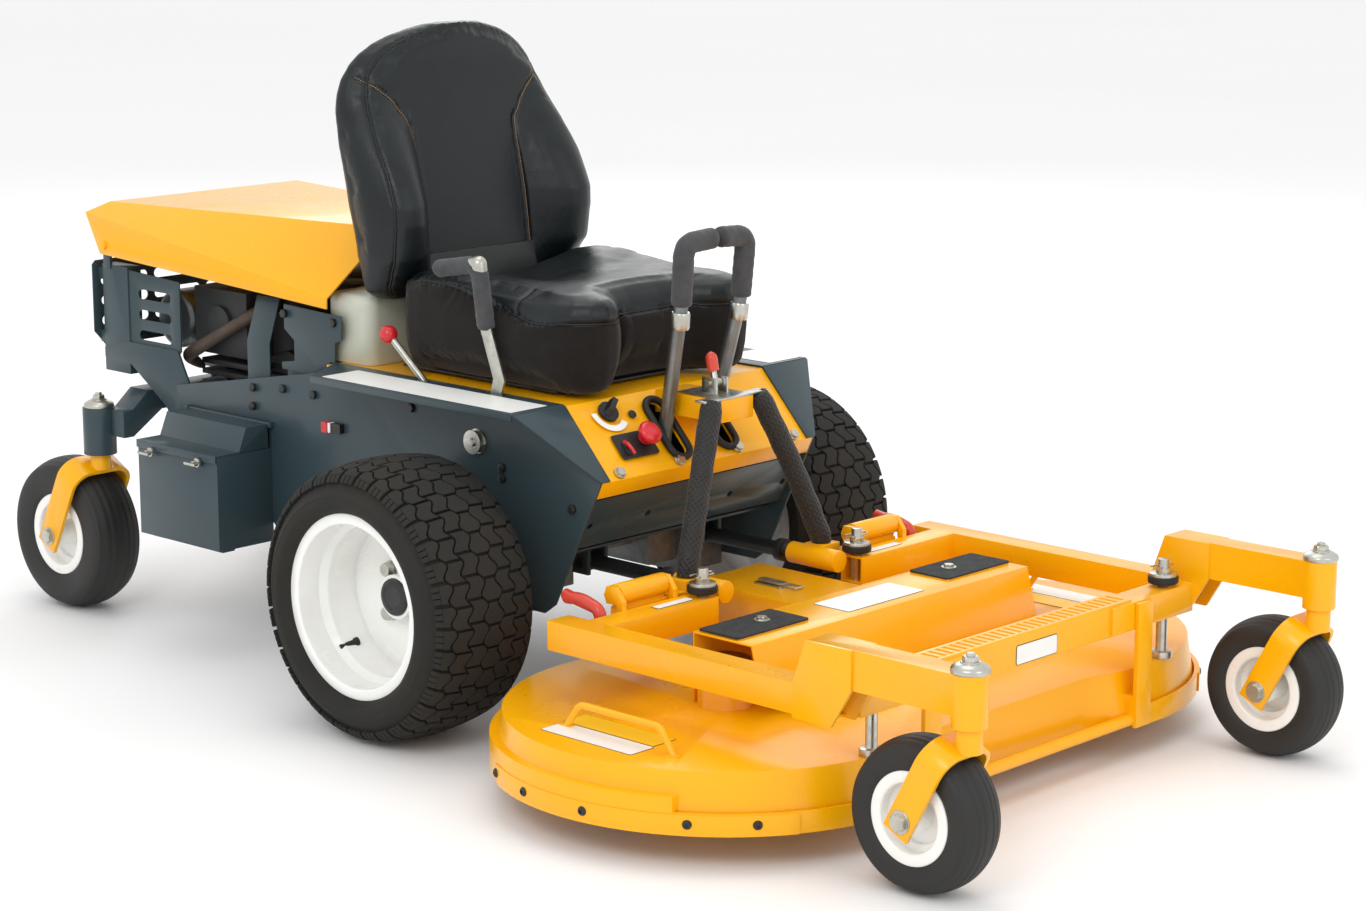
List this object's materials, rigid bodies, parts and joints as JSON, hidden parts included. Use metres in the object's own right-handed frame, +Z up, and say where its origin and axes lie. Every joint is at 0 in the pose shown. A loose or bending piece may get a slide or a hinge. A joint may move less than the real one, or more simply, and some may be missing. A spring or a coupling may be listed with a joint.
{
  "type": "zero turn mower",
  "caption": "Ride-on zero turn mower with a tilt-up front deck on swivel casters, twin steering levers, high-back seat and an engine under a tilting hood.",
  "frame": {"origin": "on the ground, under the middle of the drive axle, which is the middle of the machine's length and width", "axes": "+Z up; -Y towards the front, where the deck is; +X towards the driver's left"},
  "size_m": [1.488, 2.656, 1.228],
  "materials": {
    "steel_grey": "satin blue-grey enamel",
    "yellow": "glossy yellow enamel",
    "black_metal": "satin black enamel",
    "white_metal": "glossy white enamel",
    "zinc": "zinc plated",
    "engine": "satin black",
    "alloy": "cast aluminium",
    "tyre": "matt tyre rubber",
    "foam": "closed-cell foam",
    "hose": "matt rubber hose",
    "fabric": "black woven sleeve",
    "leather": "black upholstery with contrast stitching",
    "tank": "translucent white polyethylene",
    "black_plastic": "matt black",
    "red_plastic": "glossy red",
    "label": "blank white vinyl plate with a dark border",
    "pad_rubber": "black non-slip rubber",
    "thread": "tan thread",
    "skirt": "brown-black knitted cloth"
  },
  "bodies": {
    "chassis": {"side_plates": "steel_grey", "fenders": "steel_grey", "cowl": "yellow", "front_cross_member": "steel_grey", "engine_plate": "steel_grey", "engine_block": "engine", "muffler": "black_metal", "air_hose": "hose", "engine_guards": "steel_grey", "fuel_tank": "tank", "tank_cradle": "steel_grey", "battery_box": "steel_grey", "transaxles": "alloy", "console_bracket": "zinc", "frame_bolts": "zinc", "tail_mount": "steel_grey", "seat_mount": "black_metal"},
    "hood": {"hood": "yellow"},
    "seat": {"seat_pan": "black_metal", "seat_cushion": "leather", "seat_back": "leather"},
    "battery_lid": {"battery_lid": "steel_grey"},
    "tail_axle": {"tail_beam": "steel_grey"},
    "parking_brake": {"parking_lever": "zinc"},
    "choke": {"choke_lever": "zinc"},
    "throttle": {"throttle_knob": "black_plastic"},
    "blade_switch": {"pto_knob": "red_plastic"},
    "key": {"key_switch": "black_plastic"},
    "deck_latch": {"latch_lever": "red_plastic"},
    "hitch": {"hitch_arms": "black_metal", "hitch_frame": "yellow", "spring_sleeves": "fabric"},
    "carrier": {"carrier_frame": "yellow"},
    "deck": {"deck_shell": "yellow", "hanger_pins": "yellow", "drive_cover": "yellow"},
    "drive_wheel_right": {"drive_wheel_right": "white_metal", "drive_tyre_right": "tyre"},
    "drive_wheel_left": {"drive_wheel_left": "white_metal", "drive_tyre_left": "tyre"},
    "tail_fork_right": {"tail_fork_right": "yellow"},
    "tail_wheel_right": {"tail_wheel_right": "white_metal", "tail_tyre_right": "tyre"},
    "tail_fork_left": {"tail_fork_left": "yellow"},
    "tail_wheel_left": {"tail_wheel_left": "white_metal", "tail_tyre_left": "tyre"},
    "steering_right": {"steering_lever_right": "zinc", "steering_grip_right": "foam"},
    "steering_left": {"steering_lever_left": "zinc", "steering_grip_left": "foam"},
    "hitch_handle_right": {"hitch_handle_right": "red_plastic"},
    "hitch_handle_left": {"hitch_handle_left": "red_plastic"},
    "blade_right": {"blade_right": "black_metal"},
    "blade_left": {"blade_left": "black_metal"},
    "caster_fork_right": {"caster_fork_right": "yellow"},
    "caster_wheel_right": {"caster_wheel_right": "white_metal", "caster_tyre_right": "tyre"},
    "caster_fork_left": {"caster_fork_left": "yellow"},
    "caster_wheel_left": {"caster_wheel_left": "white_metal", "caster_tyre_left": "tyre"}
  },
  "joints": [
    {"name": "hood_hinge", "type": "hinge", "parent": "chassis", "child": "hood", "pos_m": [0, 1.108, 0.752], "axis": [1, 0, 0], "range_deg": [-60, 0]},
    {"name": "seat_slide", "type": "slide", "parent": "chassis", "child": "seat", "axis": [0, 1, 0], "range_m": [-0.03, 0.02]},
    {"name": "battery_lid_hinge", "type": "hinge", "parent": "chassis", "child": "battery_lid", "pos_m": [-0.289, 0.713, 0.45375], "axis": [0, 1, 0], "range_deg": [0, 60]},
    {"name": "drive_spin_right", "type": "hinge", "parent": "chassis", "child": "drive_wheel_right", "pos_m": [-0.486, 0, 0.252], "axis": [1, 0, 0], "continuous": true},
    {"name": "drive_spin_left", "type": "hinge", "parent": "chassis", "child": "drive_wheel_left", "pos_m": [0.486, 0, 0.252], "axis": [1, 0, 0], "continuous": true},
    {"name": "tail_axle_rock", "type": "hinge", "parent": "chassis", "child": "tail_axle", "pos_m": [0, 1.04, 0.441], "axis": [0, 1, 0], "range_deg": [-4, 4]},
    {"name": "tail_swivel_right", "type": "hinge", "parent": "tail_axle", "child": "tail_fork_right", "pos_m": [-0.33, 1.081, 0.381], "axis": [0, 0, 1], "continuous": true},
    {"name": "tail_spin_right", "type": "hinge", "parent": "tail_fork_right", "child": "tail_wheel_right", "pos_m": [-0.33, 1.171, 0.157], "axis": [1, 0, 0], "continuous": true},
    {"name": "tail_swivel_left", "type": "hinge", "parent": "tail_axle", "child": "tail_fork_left", "pos_m": [0.33, 1.081, 0.381], "axis": [0, 0, 1], "continuous": true},
    {"name": "tail_spin_left", "type": "hinge", "parent": "tail_fork_left", "child": "tail_wheel_left", "pos_m": [0.33, 1.171, 0.157], "axis": [1, 0, 0], "continuous": true},
    {"name": "steering_right", "type": "hinge", "parent": "chassis", "child": "steering_right", "pos_m": [-0.07, -0.238, 0.4], "axis": [1, 0, 0], "range_deg": [-7, 11]},
    {"name": "steering_left", "type": "hinge", "parent": "chassis", "child": "steering_left", "pos_m": [0.07, -0.238, 0.4], "axis": [1, 0, 0], "range_deg": [-7, 11]},
    {"name": "parking_brake", "type": "hinge", "parent": "chassis", "child": "parking_brake", "pos_m": [-0.2725, -0.02, 0.54], "axis": [1, 0, 0], "range_deg": [-14, 14]},
    {"name": "choke", "type": "hinge", "parent": "chassis", "child": "choke", "pos_m": [-0.2725, 0.118, 0.56], "axis": [1, 0, 0], "range_deg": [-5, 16]},
    {"name": "throttle_turn", "type": "hinge", "parent": "chassis", "child": "throttle", "pos_m": [-0.175, -0.21747, 0.56807], "axis": [0, -0.7311, 0.6823], "range_deg": [-60, 60]},
    {"name": "key_turn", "type": "hinge", "parent": "chassis", "child": "key", "pos_m": [-0.184, -0.27205, 0.50958], "axis": [0, -0.7311, 0.6823], "range_deg": [0, 60]},
    {"name": "blade_switch", "type": "slide", "parent": "chassis", "child": "blade_switch", "axis": [0, -0.7311, 0.6823], "range_m": [0, 0.008]},
    {"name": "deck_latch", "type": "hinge", "parent": "chassis", "child": "deck_latch", "pos_m": [0, -0.318, 0.614], "axis": [1, 0, 0], "range_deg": [-35, 25]},
    {"name": "hitch_lift", "type": "hinge", "parent": "chassis", "child": "hitch", "pos_m": [0, -0.15, 0.283], "axis": [-1, 0, 0], "range_deg": [-3, 4], "deforming": ["spring_sleeves"]},
    {"name": "deck_tilt", "type": "hinge", "parent": "hitch", "child": "carrier", "pos_m": [0, -0.427, 0.308], "axis": [-1, 0, 0], "range_deg": [-4, 80]},
    {"name": "deck_height", "type": "slide", "parent": "carrier", "child": "deck", "axis": [0, 0, 1], "range_m": [-0.005, 0.045]},
    {"name": "hitch_handle_right", "type": "hinge", "parent": "carrier", "child": "hitch_handle_right", "pos_m": [-0.415, -0.442, 0.266], "axis": [1, 0, 0], "range_deg": [-4, 10]},
    {"name": "hitch_handle_left", "type": "hinge", "parent": "carrier", "child": "hitch_handle_left", "pos_m": [0.415, -0.442, 0.266], "axis": [1, 0, 0], "range_deg": [-4, 10]},
    {"name": "blade_spin_right", "type": "hinge", "parent": "deck", "child": "blade_right", "pos_m": [-0.347, -0.662, 0.15], "axis": [0, 0, 1], "continuous": true},
    {"name": "blade_spin_left", "type": "hinge", "parent": "deck", "child": "blade_left", "pos_m": [0.347, -0.662, 0.15], "axis": [0, 0, 1], "continuous": true},
    {"name": "caster_swivel_right", "type": "hinge", "parent": "carrier", "child": "caster_fork_right", "pos_m": [-0.484, -1.285, 0.32], "axis": [0, 0, 1], "continuous": true},
    {"name": "caster_spin_right", "type": "hinge", "parent": "caster_fork_right", "child": "caster_wheel_right", "pos_m": [-0.484, -1.204, 0.124], "axis": [1, 0, 0], "continuous": true},
    {"name": "caster_swivel_left", "type": "hinge", "parent": "carrier", "child": "caster_fork_left", "pos_m": [0.484, -1.285, 0.32], "axis": [0, 0, 1], "continuous": true},
    {"name": "caster_spin_left", "type": "hinge", "parent": "caster_fork_left", "child": "caster_wheel_left", "pos_m": [0.484, -1.204, 0.124], "axis": [1, 0, 0], "continuous": true}
  ],
  "couplings": [
    {"joint": "blade_spin_left", "follows": "blade_spin_right", "ratio": -1}
  ]
}
